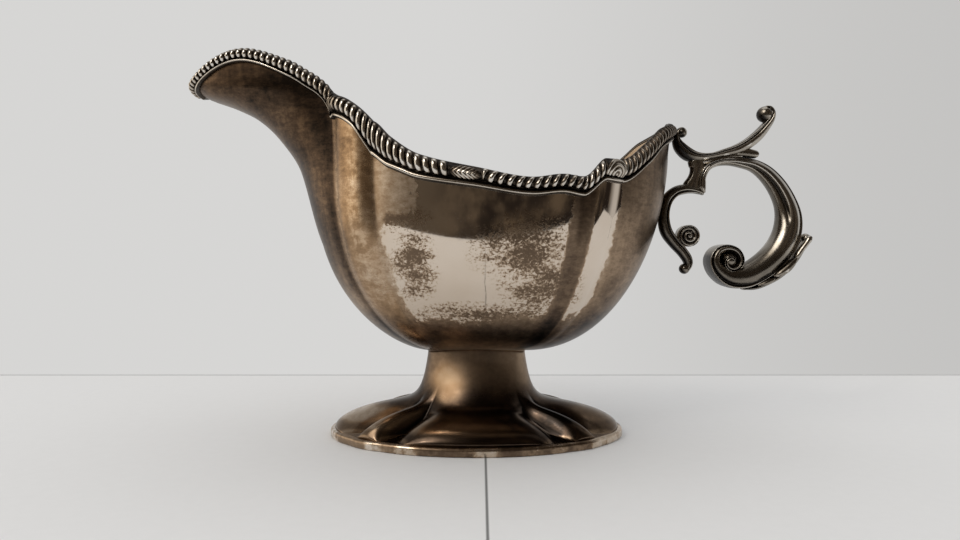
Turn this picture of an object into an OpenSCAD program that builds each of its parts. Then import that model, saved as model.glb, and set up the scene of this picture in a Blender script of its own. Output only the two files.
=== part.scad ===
// Silver sauce boat on a lobed oval foot.
// Origin: middle of the foot, on the surface that it stands on. +Z is up,
// +X points to the handle, -X to the spout, -Y is the left side as it pours.

/* [Bowl] */
// Height of the flat seat under the bowl, where the foot is soldered on
seat_z = 26; // [25.5:0.1:26.4]
// How far the body reaches forward of the foot's middle, without the spout
body_front = 49; // [46:0.5:52]
// How far the body reaches back of the foot's middle
body_back = 58; // [55:0.5:61]
// Half the width of the body
body_half_w = 35; // [33:0.5:37]
// Height where the body's front and sides stop widening
belly_z = 80; // [75:1:85]
// Thickness of the raised silver sheet
sheet_t = 1.2; // [1:0.1:1.5]
// How far each fluted panel swells beyond the plain oval, in the middle
flute_h = 1.1; // [0.6:0.1:1.6]

/* [Border] */
// How far the applied border stands out from the bowl
border_out = 1.8; // [1.4:0.1:2.2]
// How far the border rises above the edge of the sheet
border_rise = 0.5; // [0.3:0.1:0.8]

/* [Foot] */
// Half the length of the foot, along X
foot_a = 44.8; // [42:0.2:47]
// Half the width of the foot, along Y
foot_b = 27.6; // [26:0.2:30]
// Height of the rim strip that the foot stands on
rim_h = 2.6; // [2:0.1:3]
// Half the length of the neck
neck_a = 14.8; // [14:0.1:14.9]
// Half the width of the neck
neck_b = 9.5; // [9:0.1:9.6]

/* [Handle] */
// Scale of the handle's thickness across the boat, with 1 as the real one
handle_y = 1; // [0.9:0.05:1.2]

/* [Hidden] */

// Colours of the tarnished silver
silver = [0.72, 0.69, 0.64];
dull = [0.42, 0.36, 0.29];
pewter = [0.55, 0.53, 0.50];

// Gap left for solder between pieces that lie on each other
solder = 0.04;

// ---- curves -------------------------------------------------------------

// Index of the stretch of the table p that holds x
function stretch(p, x, i = 0) =
    (i >= len(p) - 2 || x < p[i + 1][0]) ? i : stretch(p, x, i + 1);

function rise(p, i) = (p[i + 1][1] - p[i][1]) / (p[i + 1][0] - p[i][0]);

// Slope at a table's point that keeps the curve free of overshoot
function slope(p, i) =
    i == 0 ? rise(p, 0) :
    i == len(p) - 1 ? rise(p, i - 1) :
    rise(p, i - 1) * rise(p, i) <= 0 ? 0 :
    2 * rise(p, i - 1) * rise(p, i) / (rise(p, i - 1) + rise(p, i));

function hermite(f, h, y0, y1, m0, m1) =
    (2 * f^3 - 3 * f^2 + 1) * y0 + (f^3 - 2 * f^2 + f) * h * m0
    + (3 * f^2 - 2 * f^3) * y1 + (f^3 - f^2) * h * m1;

// Smooth curve through the points of the table p, at x
function curve(p, x) =
    let (i = stretch(p, x), h = p[i + 1][0] - p[i][0], f = (x - p[i][0]) / h)
    hermite(max(0, min(1, f)), h, p[i][1], p[i + 1][1], slope(p, i), slope(p, i + 1));

// ---- bowl ---------------------------------------------------------------

// X of the oval's widest place
bowl_x = 3.3;
// Angles round the oval, from the spout, of the creases between the panels
creases = [0, 34.5, 54, 118.5, 132.5, 180];
// How strongly the stations crowd towards the first crease, in the spout
spout_crowd = 1.8;
// How full the spout's plan is
spout_fill = 2.7;
// Swelling of the panels as a share of flute_h, from the spout to the back
panel_swell = [0.4, 1, 1.15, 1, 0.9];
// Height over which the flutes grow out of the plain oval of the seat
flute_fade = 22;

// Half length and half width of the flat seat
seat_a = 15;
seat_b = 10;
// Height where the back stops widening
back_z = 85;
// Fullness of the profiles: how soon they turn upright, and how flat they
// leave the seat
front_full = [2.4, 0.63];
back_full = [1.8, 0.46];
// Flare above the widest place, in mm for each mm of height
front_flare = 0.02;
back_flare = 0.1;
// Height, and how far the spout stands forward of the body there
spout_line = [[58, 0], [70, 1.5], [80, 4], [90, 10.5], [96, 17], [100, 25], [103, 33],
    [106, 35.5], [116, 36.5]];
// Station round the half oval, 0 at the spout to 5 at the handle, and height
// of the border's top there
rim_line = [[0, 105.5], [0.2, 107.5], [0.5, 113.5], [0.7, 109.5], [0.8, 106], [1, 100.5],
    [1.5, 97.5], [2, 91], [2.1, 86.5], [2.25, 81.5], [2.5, 78], [2.75, 75.5], [2.9, 76.5],
    [3, 76], [3.5, 81], [4, 81], [4.25, 86], [4.5, 91.5], [5, 95]];
// Station and height of the border strip
band_line = [[0, 3.5], [0.5, 3.5], [0.8, 5.5], [1, 7.5], [1.2, 6], [1.6, 6.5], [2, 9.5],
    [2.2, 7], [2.5, 5.5], [2.75, 5], [3, 5.5], [4, 6.5], [4.5, 5.5], [5, 4]];

// Distance out at height z of a profile that starts at the edge of the seat,
// bows out to wide at height top and flares a little above it
function profile(z, seat, wide, top, full, flare) =
    let (s = max(0, min(1, (z - seat_z) / (top - seat_z))))
    seat + (wide - seat) * (1 - (1 - s)^full[0])^full[1] + flare * max(0, z - top);

function front_reach(z) = profile(z, seat_a, body_front, belly_z, front_full, front_flare);
function side_reach(z) = profile(z, seat_b, body_half_w, belly_z, front_full, front_flare);
function back_reach(z) = profile(z, seat_a, body_back, back_z, back_full, back_flare);

// Angle round the oval of station t
function angle_at(t) =
    let (k = min(4, floor(t)), f = t - k)
    k == 0 ? creases[1] * (1 - (1 - f)^spout_crowd)
    : creases[k] + f * (creases[k + 1] - creases[k]);

// Swelling of the panel at station t, 0 on the creases
function swell(t) =
    let (k = min(4, floor(t)), f = t - k)
    panel_swell[k] * (k == 4 ? 1 - (1 - f)^2 : 4 * f * (1 - f));

// Share of the flutes at height z: none at the seat
function fluting(z) = max(0, min(1, (z - seat_z) / flute_fade));

// Outer surface of the bowl at station t and height z, on the right side
function bowl_point(t, z) =
    let (
        a = angle_at(t),
        half = side_reach(z),
        oval = front_reach(z) + bowl_x,
        tip = curve(spout_line, z),
        back = back_reach(z) - bowl_x - flute_h * swell(5) * fluting(z),
        full = a < creases[1] ? 1 - (a / creases[1])^spout_fill : 0,
        n = flute_h * swell(t) * fluting(z),
        long = a < 90 ? oval : back
    )
    [bowl_x - (long + n) * cos(a) - tip * full, (half + n) * sin(a), z];

// Height of the bowl's own edge at station t
function edge_z(t) = curve(rim_line, t) - border_rise;

// Unit vector out of the bowl at station t and height z
function bowl_normal(t, z) =
    let (
        d = 0.02,
        here = bowl_point(t, z),
        ahead = t < 5 - d ? unit(bowl_point(t + d, z) - here) : [0, 0, 0],
        behind = t > d ? unit(here - bowl_point(t - d, z)) : [0, 0, 0],
        along = ahead + behind,
        up = bowl_point(t, z + 0.1) - bowl_point(t, max(seat_z, z - 0.1)),
        n = cross(up, along)
    )
    t <= d || t >= 5 - d ? unit([n[0], 0, n[2]]) : unit(n);

function unit(v) = v / norm(v);

function other_side(p) = [p[0], -p[1], p[2]];

// Stations of the half oval, then all the way round
bowl_steps = [8, 4, 9, 4, 6];
half_stations = concat([for (k = [0:4]) for (i = [0:bowl_steps[k] - 1]) k + i / bowl_steps[k]], [5]);
last = len(half_stations) - 1;

// One closed ring from a function's values: right half, then left half
function full_ring(half) =
    concat(half, [for (i = [last - 1:-1:1]) other_side(half[i])]);

bowl_rows = 17;
// How strongly the rows crowd towards the top
row_crowd = 1.35;
// How far the corner inside, at the seat, stands back, as a share of its size
seat_corner = 0.1;
// Least rise of the inner surface from one row to the next
inner_rise = 0.02;

// Share of the way up of row j
function row_share(j) = 1 - (1 - j / (bowl_rows - 1))^row_crowd;

function row_z(t, j) = seat_z + (edge_z(t) - seat_z) * row_share(j);

function outer_row(j) = full_ring([for (t = half_stations) bowl_point(t, row_z(t, j))]);

// Inner surface: the outer one moved in by the sheet's thickness
function inner_point(t, j) =
    let (z = row_z(t, j), p = bowl_point(t, z), n = bowl_normal(t, z), q = p - sheet_t * n)
    j == 0 ? [p[0] * (1 - seat_corner), p[1] * (1 - seat_corner), seat_z + sheet_t] :
    j == bowl_rows - 1 ? [q[0], q[1], z] :
    [q[0], q[1], max(q[2], seat_z + sheet_t + inner_rise * j)];

function inner_row(j) = full_ring([for (t = half_stations) inner_point(t, j)]);

// Closed solid from rows of equal length, each row a closed ring. With
// hollow = true the last row joins the first, with no end faces.
module rings(rows, hollow = false) {
    n = len(rows[0]);
    m = len(rows);
    top = hollow ? m - 1 : m - 2;
    sides = [for (j = [0:top]) for (i = [0:n - 1])
        let (a = j * n, b = ((j + 1) % m) * n, k = (i + 1) % n)
        each [[a + i, b + i, a + k], [b + i, b + k, a + k]]];
    ends = hollow ? [] : [[for (i = [0:n - 1]) i], [for (i = [n - 1:-1:0]) (m - 1) * n + i]];
    polyhedron(points = [for (r = rows) each r], faces = concat(sides, ends), convexity = 8);
}

// The raised sheet: up the inside, over the edge and down the outside
module bowl() {
    color(silver)
    rings(concat(
        [for (j = [0:bowl_rows - 1]) inner_row(j)],
        [for (j = [bowl_rows - 1:-1:0]) outer_row(j)]
    ));
}

// ---- border -------------------------------------------------------------

// Height as a share of the strip, and how far out as a share of border_out:
// a fillet at the foot, a hollow, the bead's swelling and the flat top
border_profile = [[0, 0.35], [0.1, 0.55], [0.24, 0.4], [0.42, 0.9], [0.7, 1], [0.92, 0.75]];
border_top_out = 0.35;
border_back_rows = [1, 0.66, 0.33, 0];
// Gap at a crease between two strips, as a share of a panel
trim = 0.008;
// Steps along the border of each panel, from the spout to the back
strip_steps = [15, 8, 20, 8, 12];

// One cross-section of the border at station t, square to the bowl there, or
// at the crease s for the mitred end of a strip
function border_ring(t, s) =
    let (z1 = edge_z(t), z0 = z1 + border_rise - curve(band_line, t), h = z1 - z0)
    concat(
        [for (q = border_profile)
            let (z = z0 + h * q[0]) bowl_point(t, z) + bowl_normal(s, z) * border_out * q[1]],
        [bowl_point(t, z1) + [0, 0, border_rise] + bowl_normal(s, z1) * border_out * border_top_out],
        [for (share = border_back_rows)
            let (z = z0 + h * share) bowl_point(t, z) + bowl_normal(s, z) * solder]
    );

// Border of panel k, counted from 0 at the spout, on the right side
module border_strip(k) {
    n = strip_steps[k];
    rings(concat(
        [border_ring(k + trim, k)],
        [for (i = [1:n - 1]) let (t = k + i / n) border_ring(t, t)],
        [border_ring(k + 1 - trim, k + 1)]
    ));
}

module left() {
    mirror([0, 1, 0]) children();
}

// The spout's border runs round the lip in one piece
module border_spout() {
    n = strip_steps[0];
    half = concat([for (i = [0:n - 1]) let (t = i / (n + 1)) border_ring(t, t)], [border_ring(1 - trim, 1)]);
    color(silver)
    rings(concat(
        [for (i = [n:-1:1]) [for (p = half[i]) other_side(p)]],
        [for (i = [0:n]) half[i]]
    ));
}

module border_front_lobe_right() { color(silver) border_strip(1); }
module border_front_lobe_left() { color(silver) left() border_strip(1); }
module border_side_right() { color(silver) border_strip(2); }
module border_side_left() { color(silver) left() border_strip(2); }
module border_rear_lobe_right() { color(silver) border_strip(3); }
module border_rear_lobe_left() { color(silver) left() border_strip(3); }
module border_back_right() { color(silver) border_strip(4); }
module border_back_left() { color(silver) left() border_strip(4); }

// ---- foot ---------------------------------------------------------------

// Grooves between the foot's lobes, as angles round its oval
foot_grooves = [0, 34.5, 52, 90];
foot_steps = [6, 5, 7];
foot_t = 1;
// How far the foot's sheet stops inside the edge of the rim strip
foot_inset = 1.3;
// How far the outline dips in the grooves, as a share of its size
foot_wave = 0.012;
// Squareness of the lobes across: end, narrow and wide ones
lobe_power = [2.4, 2.4, 4.5];
// Width of the rim strip
rim_w = 4.2;
// Height of the lobes' crowns above the rim strip, and how late they fall to
// the toe: the end lobes, the narrow ones, then the wide ones
crown_h = [9, 8.4, 7.4];
crown_fall = [1.7, 2.2, 2.4];
// Roundness of the toes in profile
crown_round = 0.55;
// How much a lobe narrows at its toe, and how late it does so
toe_narrow = 0.25;
toe_power = 6;
// Height of a groove above the rim strip, and its fall
groove_h = 8.4;
groove_fall = 1.6;
// Distance in which the neck flares into the lobes, at the ends and the sides
neck_flare = [1.8, 2.6];
// Shares of the way out where the grooves start and where they are full
groove_start = 0.08;
groove_full = 0.4;
// Rows from the neck to the rim, closer together at both ends
foot_rows = 14;
foot_shares = [for (i = [0:foot_rows]) let (f = i / foot_rows) f^2 * (3 - 2 * f)];

// Height of a sheet that comes down from the seat to h above the rim strip
// as neck falls from 1 to 0, and on to the strip as shape falls from 1 to 0
function foot_height(neck, h, shape) = rim_h + h * shape + (seat_z - rim_h - h) * neck;

function crown_z(share, neck, k) =
    foot_height(neck, crown_h[k], (1 - share^crown_fall[k])^crown_round);

function groove_z(share, neck) = foot_height(neck, groove_h, (1 - share)^groove_fall);

// Angles of a quarter of the foot, then of the whole oval
quarter = concat(
    [for (k = [0:2]) for (i = [0:foot_steps[k] - 1])
        foot_grooves[k] + (foot_grooves[k + 1] - foot_grooves[k]) * i / foot_steps[k]],
    [90]
);
foot_angles = concat(
    quarter,
    [for (i = [len(quarter) - 2:-1:0]) 180 - quarter[i]],
    [for (i = [1:len(quarter) - 1]) 180 + quarter[i]],
    [for (i = [len(quarter) - 2:-1:1]) 360 - quarter[i]]
);

// The angle folded into the first quarter
function folded(a) = let (b = a % 180) b > 90 ? 180 - b : b;

// Kind of lobe at an angle: 0 for the end ones, 1 narrow, 2 wide
function lobe_kind(a) =
    let (b = folded(a))
    b < foot_grooves[1] ? 0 : b < foot_grooves[2] ? 1 : 2;

// 0 in a groove, 1 on the crown of a lobe
function lobe(a, share = 0) =
    let (
        k = lobe_kind(a),
        lo = k == 0 ? -foot_grooves[1] : foot_grooves[k],
        hi = k == 2 ? 180 - foot_grooves[2] : foot_grooves[k + 1],
        f = (folded(a) - lo) / (hi - lo),
        wide = 1 - toe_narrow * share^toe_power
    )
    max(0, 1 - (abs(2 * f - 1) / wide)^lobe_power[k]);

// Outline of the foot's sheet, gently lobed
function foot_outline(a) =
    let (s = 1 - foot_wave * (1 - lobe(a)))
    [-(foot_a - foot_inset) * s * cos(a), (foot_b - foot_inset) * s * sin(a)];

function foot_point(a, share) =
    let (
        n = [-neck_a * cos(a), neck_b * sin(a)],
        o = foot_outline(a),
        p = n + (o - n) * share,
        flare = neck_flare[0] + (neck_flare[1] - neck_flare[0]) * sin(a)^2,
        neck = exp(-share * norm(o - n) / flare),
        plain = crown_z(share, neck, 0),
        groove = groove_z(share, neck),
        lobed = groove + (crown_z(share, neck, lobe_kind(a)) - groove) * lobe(a, share),
        grown = max(0, min(1, (share - groove_start) / (groove_full - groove_start))),
        z = plain + (lobed - plain) * grown
    )
    [p[0], p[1], share == 0 ? seat_z - solder : share == 1 ? rim_h + solder : z];

// Inner surface of the foot's sheet
function foot_inner(a, share) =
    let (
        d = 0.6,
        p = foot_point(a, share),
        along = foot_point(a + d, share) - foot_point(a - d, share),
        down = foot_point(a, min(0.999, share + 0.004)) - foot_point(a, max(0.001, share - 0.004)),
        n = unit(cross(along, down)),
        flat = unit([p[0] / foot_a^2, p[1] / foot_b^2, 0])
    )
    share == 0 || share == 1 ? p - foot_t * flat :
    [p[0] - foot_t * n[0], p[1] - foot_t * n[1], max(rim_h + solder + 0.01, p[2] - foot_t * n[2])];

module foot() {
    color(dull)
    rings(concat(
        [for (i = [len(foot_shares) - 1:-1:0]) [for (a = foot_angles) foot_inner(a, foot_shares[i])]],
        [for (i = [0:len(foot_shares) - 1]) [for (a = foot_angles) foot_point(a, foot_shares[i])]]
    ), hollow = true);
}

// Oval of the rim strip, grown by d
function rim_oval(d, wave) =
    [for (a = foot_angles)
        let (s = 1 - wave * (1 - lobe(a)))
        [-(foot_a + d) * s * cos(a), (foot_b + d) * s * sin(a)]];

module rim_layer(z, h, d) {
    translate([0, 0, z])
    linear_extrude(h)
    difference() {
        polygon(rim_oval(d, foot_wave));
        polygon(rim_oval(-rim_w, 0));
    }
}

// The strip soldered under the foot, with its edges eased
module foot_rim() {
    ease = 0.4;
    color(dull)
    union() {
        rim_layer(0, ease, -ease);
        rim_layer(ease, rim_h - 2 * ease, 0);
        rim_layer(rim_h - ease, ease, -ease);
    }
}

// ---- handle -------------------------------------------------------------

// A point of a scroll is [x, z, half thickness in the plane, half thickness
// across]. The curve through them is a Catmull-Rom one.
function blend4(a, b, c, d, f) =
    0.5 * (2 * b + (c - a) * f + (2 * a - 5 * b + 4 * c - d) * f^2 + (3 * b - a - 3 * c + d) * f^3);

function fine(pts, n) =
    let (m = len(pts) - 1)
    [for (i = [0:m - 1]) for (k = [0:n - 1])
        blend4(pts[max(0, i - 1)], pts[i], pts[i + 1], pts[min(m, i + 2)], k / n),
        pts[m]];

scroll_sides = 10;

// Rounded cross-section of a scroll at point p, square to direction d
function scroll_ring(p, d) =
    let (u = [-d[1], d[0]])
    [for (k = [0:scroll_sides - 1])
        let (
            a = 360 * k / scroll_sides,
            c = sign(cos(a)) * abs(cos(a))^0.8,
            s = sign(sin(a)) * abs(sin(a))^0.8
        )
        [p[0] + u[0] * c * p[2], -s * p[3] * handle_y, p[1] + u[1] * c * p[2]]];

// Solid swept along the points, n steps between two points
module scroll(pts, n = 3) {
    q = fine(pts, n);
    m = len(q) - 1;
    rings([for (i = [0:m])
        let (
            a = q[max(0, i - 1)],
            b = q[min(m, i + 1)],
            d = unit([b[0] - a[0], b[1] - a[1]])
        )
        scroll_ring(q[i], d)]);
}

module bead(ball) {
    translate([ball[0], 0, ball[1]])
    scale([1, ball[3] * handle_y, 1])
    sphere(ball[2], $fn = 12);
}

// From the rear of the rim to the thumb rest
upper_points = [[61.7, 91.6, 0.6, 1.6], [61.1, 89.6, 1.3, 2.1], [62.2, 87.4, 1.9, 2.4],
    [64.8, 85.6, 1.9, 2.4], [68, 84.9, 1.4, 2.2], [71.8, 85.2, 1.1, 2], [76, 86.2, 1.35, 1.9],
    [79.5, 87.2, 1.6, 1.9], [83, 89.1, 1.7, 2], [86.2, 91.7, 1.7, 2], [88.5, 94.5, 1.4, 2.1],
    [89.9, 97, 1.1, 2.3]];
// The main C scroll, from its tip by the strut to the rolled end
loop_points = [[69.7, 74.2, 0.5, 1.2], [69.1, 76.2, 1.2, 1.8], [69.2, 79, 1.1, 2],
    [70.6, 81.6, 1, 2.1], [73.4, 83.1, 0.95, 2.2], [77.2, 83.6, 1.15, 2.3], [81.2, 83.2, 1.5, 2.5],
    [84.9, 82.3, 1.9, 2.7], [88.6, 79.9, 2.4, 2.9], [92, 76, 2.8, 3.2], [94.5, 71.3, 3.2, 3.5],
    [95.6, 66.8, 3.7, 3.8], [95.2, 62, 3.9, 4.2], [93.4, 57.7, 3.9, 4.5], [90.4, 54, 3.8, 4.7],
    [86.6, 50.9, 3.8, 4.8], [82, 48.5, 3.7, 4.8], [77.4, 48.2, 3.2, 4.7], [74, 50.3, 2.5, 4.5],
    [72.4, 53.3, 2, 4.2], [73.4, 56, 1.5, 3.9], [76, 56.9, 1.2, 3.6], [78.6, 55.8, 1, 3.4],
    [79.4, 53.4, 0.9, 3.2], [78, 51.9, 0.7, 3]];
// The short leg between the upper scroll and the lower bracket
strut_points = [[66.8, 83.1, 1.7, 1.6], [66.9, 81, 1.5, 1.5], [66.1, 78.6, 1.5, 1.5],
    [65.4, 77.2, 1.6, 1.5]];
// The C scroll that holds the handle to the bowl, with its tail
bracket_points = [[68.8, 74, 0.4, 1.2], [66.6, 74.8, 0.9, 1.7], [63.8, 75.2, 1.5, 2],
    [60.9, 74.4, 1.6, 2.1], [58.6, 72.2, 1.7, 2.2], [57.6, 69, 1.5, 2.2], [57.4, 65.6, 1.7, 2.2],
    [58.3, 62, 1.8, 2.1], [60.6, 58.8, 1.7, 1.9], [63, 56.2, 1.6, 1.8], [64.6, 53.9, 1.5, 1.7],
    [64.8, 51.8, 1.2, 1.6]];
// The spray of leaves on the outside of the loop, from its knob downwards
spray_points = [[101.4, 59.8, 0.7, 1], [100, 57.4, 0.9, 1.5], [98.2, 54.5, 0.9, 1.9],
    [95.8, 51.5, 0.9, 2.2], [92.7, 48.7, 0.9, 2.2], [89, 46.5, 0.8, 2], [85.4, 45, 0.5, 1.4]];

// Balls of the handle: X, Z, radius and width across as a share of the height
thumb_ball = [88.3, 98, 2.3, 1.05];
rim_ball = [62.9, 92.6, 1.5, 1.3];
tail_ball = [64, 50.9, 1.5, 1.1];
spray_ball = [101.3, 59.9, 1.1, 1.2];
// X, Z and radius of the flat coil, and its width across
volute = [64.95, 61.2, 3.15];
volute_w = 4.4;

module handle_upper_scroll() {
    color(pewter)
    union() {
        scroll(upper_points);
        bead(thumb_ball);
        bead(rim_ball);
    }
}

module handle_loop() {
    color(pewter) scroll(loop_points);
}

module handle_strut() {
    color(pewter) scroll(strut_points);
}

module handle_lower_bracket() {
    color(pewter)
    union() {
        scroll(bracket_points);
        bead(tail_ball);
    }
}

// A flat coil that fills the bend of the bracket
module handle_lower_volute() {
    color(pewter)
    translate([volute[0], 0, volute[1]])
    rotate([90, 0, 0])
    cylinder(h = volute_w * handle_y, r = volute[2], center = true, $fn = 40);
}

module handle_leaf_spray() {
    color(pewter)
    union() {
        scroll(spray_points);
        bead(spray_ball);
    }
}

bowl();
border_spout();
border_front_lobe_left();
border_front_lobe_right();
border_side_left();
border_side_right();
border_rear_lobe_left();
border_rear_lobe_right();
border_back_left();
border_back_right();
foot();
foot_rim();
handle_upper_scroll();
handle_loop();
handle_strut();
handle_lower_bracket();
handle_lower_volute();
handle_leaf_spray();
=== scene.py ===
"""Silver sauce boat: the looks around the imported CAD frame. Lengths are in mm until a mesh is made."""
import math
from functools import reduce

import bmesh
import bpy
import numpy as np
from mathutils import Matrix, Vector


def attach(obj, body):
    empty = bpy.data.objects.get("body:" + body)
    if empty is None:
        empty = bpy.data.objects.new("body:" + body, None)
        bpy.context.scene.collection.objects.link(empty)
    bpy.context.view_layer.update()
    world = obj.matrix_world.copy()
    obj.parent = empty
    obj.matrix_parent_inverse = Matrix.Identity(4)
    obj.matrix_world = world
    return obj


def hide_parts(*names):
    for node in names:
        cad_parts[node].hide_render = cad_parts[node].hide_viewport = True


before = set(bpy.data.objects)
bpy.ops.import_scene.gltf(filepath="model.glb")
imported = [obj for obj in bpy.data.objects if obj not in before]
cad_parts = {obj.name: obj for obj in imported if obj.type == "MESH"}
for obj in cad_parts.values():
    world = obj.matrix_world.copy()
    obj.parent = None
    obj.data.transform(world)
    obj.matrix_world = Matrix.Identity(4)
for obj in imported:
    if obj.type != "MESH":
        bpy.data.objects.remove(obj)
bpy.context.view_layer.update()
MM = 0.001

# ---- curves and meshes ----


def curve(table, x):
    """Smooth curve without overshoot through the points of the table, at x."""
    xs, ys = np.array(table, float).T
    x = np.clip(np.asarray(x, float), xs[0], xs[-1])
    h = np.diff(xs)
    rise = np.diff(ys) / h
    total = rise[:-1] + rise[1:]
    product = rise[:-1] * rise[1:]
    inner = np.where(product > 0, 2 * product / np.where(total == 0, 1, total), 0)
    m = np.concatenate([[rise[0]], inner, [rise[-1]]])
    i = np.clip(np.searchsorted(xs, x, side="right") - 1, 0, len(h) - 1)
    f = (x - xs[i]) / h[i]
    return (
        (2 * f**3 - 3 * f**2 + 1) * ys[i]
        + (f**3 - 2 * f**2 + f) * h[i] * m[i]
        + (3 * f**2 - 2 * f**3) * ys[i + 1]
        + (f**3 - f**2) * h[i] * m[i + 1]
    )


def smooth(lo, hi, x):
    """0 below lo, 1 above hi, smooth between; lo may be above hi."""
    f = np.clip((x - lo) / (hi - lo), 0, 1)
    return f * f * (3 - 2 * f)


def unit(v):
    """The vectors v at length 1."""
    return v / np.maximum(np.linalg.norm(v, axis=-1, keepdims=True), 1e-9)


def grid_faces(ni, nj, closed_i=False, closed_j=False):
    """Quads of a grid of ni by nj points that is stored row by row."""
    i = np.arange(ni if closed_i else ni - 1)
    j = np.arange(nj if closed_j else nj - 1)
    a, b = np.meshgrid(i, j, indexing="ij")
    a2, b2 = (a + 1) % ni, (b + 1) % nj
    quads = np.stack([a * nj + b, a2 * nj + b, a2 * nj + b2, a * nj + b2], axis=-1)
    return quads.reshape(-1, 4)


def add_object(name, data):
    """A new object in the scene."""
    added = bpy.data.objects.new(name, data)
    bpy.context.collection.objects.link(added)
    return added


def make_mesh(name, points, faces, material, slot, *nodes):
    """A smooth piece from points in mm and lists of faces, which stands for the CAD nodes named."""
    mesh = bpy.data.meshes.new(name)
    mesh.from_pydata((np.asarray(points) * MM).tolist(), [], [list(map(int, f)) for f in faces])
    mesh.validate()
    piece = add_object(name, mesh)
    mesh.materials.append(material)
    mesh.polygons.foreach_set("use_smooth", [True] * len(mesh.polygons))
    turn_outwards(mesh)
    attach(piece, "root")
    if nodes:
        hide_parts(*nodes)
    return piece


def turn_outwards(mesh):
    """Makes the mesh's faces look outwards."""
    bm = bmesh.new()
    bm.from_mesh(mesh)
    bmesh.ops.recalc_face_normals(bm, faces=bm.faces)
    bm.to_mesh(mesh)
    bm.free()


def make_rings(name, rows, material, slot, *nodes):
    """A piece from closed rows of points that lie one round the other, and the last next to the first."""
    points = np.asarray(rows)
    faces = grid_faces(*points.shape[:2], closed_i=True, closed_j=True)
    return make_mesh(name, points.reshape(-1, 3), faces, material, slot, *nodes)


def tube_faces(n, m):
    """Faces of n rings of m points, with a closed cap on both ends."""
    return [*grid_faces(n, m, closed_j=True), range(m), range((n - 1) * m, n * m)]


def join_parts(parts):
    """One list of points and one of faces from several (points, faces) pairs."""
    points = []
    faces = []
    start = 0
    for p, f in parts:
        points.append(p)
        faces += [[int(k) + start for k in face] for face in f]
        start += len(p)
    return np.concatenate(points), faces


def paint(piece, name, values):
    """Stores one number for each vertex, for the materials to read."""
    layer = piece.data.attributes.new(name, "FLOAT", "POINT")
    layer.data.foreach_set("value", np.asarray(values, np.float32).ravel())


# ---- bowl ----

SEAT_Z = 26.0
SHEET_T = 1.2
FLUTE_H = 1.1
BORDER_RISE = 0.5
BOWL_X = 3.3
CREASES = [0, 34.5, 54, 118.5, 132.5, 180]
SPOUT_CROWD = 1.8
SPOUT_FILL = 2.7
PANEL_SWELL = np.array([0.4, 1, 1.15, 1, 0.9])
FLUTE_FADE = 22.0
CREASE_ROUND = 0.07
# Extra rounding of the crease beside the spout, and how many stations it reaches to
SOFT_CREASE = 0.3
SOFT_REACH = 0.3
SEAT_A = 15.0
SEAT_B = 10.0
BODY_FRONT = 49.0
BODY_BACK = 58.0
BODY_HALF_W = 35.0
BELLY_Z = 80.0
BACK_Z = 85.0
# Fullness of the profiles: how soon they turn upright, and how flat they leave the seat
FRONT_FULL = (2.4, 0.63)
BACK_FULL = (1.8, 0.46)
FRONT_FLARE = 0.02
BACK_FLARE = 0.1
# Height, and how far the spout stands forward of the body there
SPOUT_LINE = [[58, 0], [70, 1.5], [80, 4], [90, 10.5], [96, 17], [100, 25], [103, 33],
              [106, 35.5], [116, 36.5]]
# Station round the half oval, 0 at the spout to 5 at the handle, and height of the border's top
RIM_LINE = [[0, 105.5], [0.2, 107.5], [0.5, 113.5], [0.7, 109.5], [0.8, 106], [1, 100.5],
            [1.5, 97.5], [2, 91], [2.1, 86.5], [2.25, 81.5], [2.5, 78], [2.75, 75.5], [2.9, 76.5],
            [3, 76], [3.5, 81], [4, 81], [4.25, 86], [4.5, 91.5], [5, 95]]
# Station and height of the border strip
BAND_LINE = [[0, 2.4], [0.5, 3.5], [0.8, 5.5], [1, 7.5], [1.2, 6], [1.6, 6.5], [2, 9.5],
             [2.2, 7], [2.5, 5.5], [2.75, 5], [3, 5.5], [4, 6.5], [4.5, 5.5], [5, 4]]
# How much higher the bowl's bottom is at its sides than under its ends, and the height it fades out in
BOTTOM_LIFT = 1.3
LIFT_FADE = 9
# Mesh of the bowl: spacing along the rim, rows up the side, and how they crowd towards the bottom
BOWL_STEP = 0.75
BOWL_ROWS = 110
ROW_CROWD = 1.3
# Size of the inner floor's edge against the outer bottom's, and of the rings that close the two
INNER_FLOOR = 0.88
FLOOR_RINGS = (0.02, 0.3, 0.6, 0.85)
BASE_RINGS = (0.85, 0.5, 0.02)


def profile(z, seat, wide, top, full, flare):
    """Distance out at height z of a profile that bows out from the seat to wide at height top."""
    s = np.clip((z - SEAT_Z) / (top - SEAT_Z), 0, 1)
    return seat + (wide - seat) * (1 - (1 - s) ** full[0]) ** full[1] + flare * np.maximum(0, z - top)


def angle_at(t):
    """Angle round the oval, in degrees from the spout, of station t."""
    k = np.clip(np.floor(t), 0, 4).astype(int)
    f = t - k
    c = np.array(CREASES, float)
    even = c[k] + f * (c[k + 1] - c[k])
    return np.where(k == 0, c[1] * (1 - (1 - np.clip(f, 0, 1)) ** SPOUT_CROWD), even)


def swell(t):
    """Swelling of the panel at station t, with the creases slightly rounded."""
    k = np.clip(np.floor(t), 0, 4).astype(int)
    f = t - k
    shape = np.where(k == 4, 1 - (1 - f) ** 2, 4 * f * (1 - f)) * PANEL_SWELL[k]
    rounding = CREASE_ROUND + SOFT_CREASE * smooth(SOFT_REACH, 0, np.abs(t - 1))
    return np.sqrt(shape**2 + rounding**2) - rounding


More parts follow.
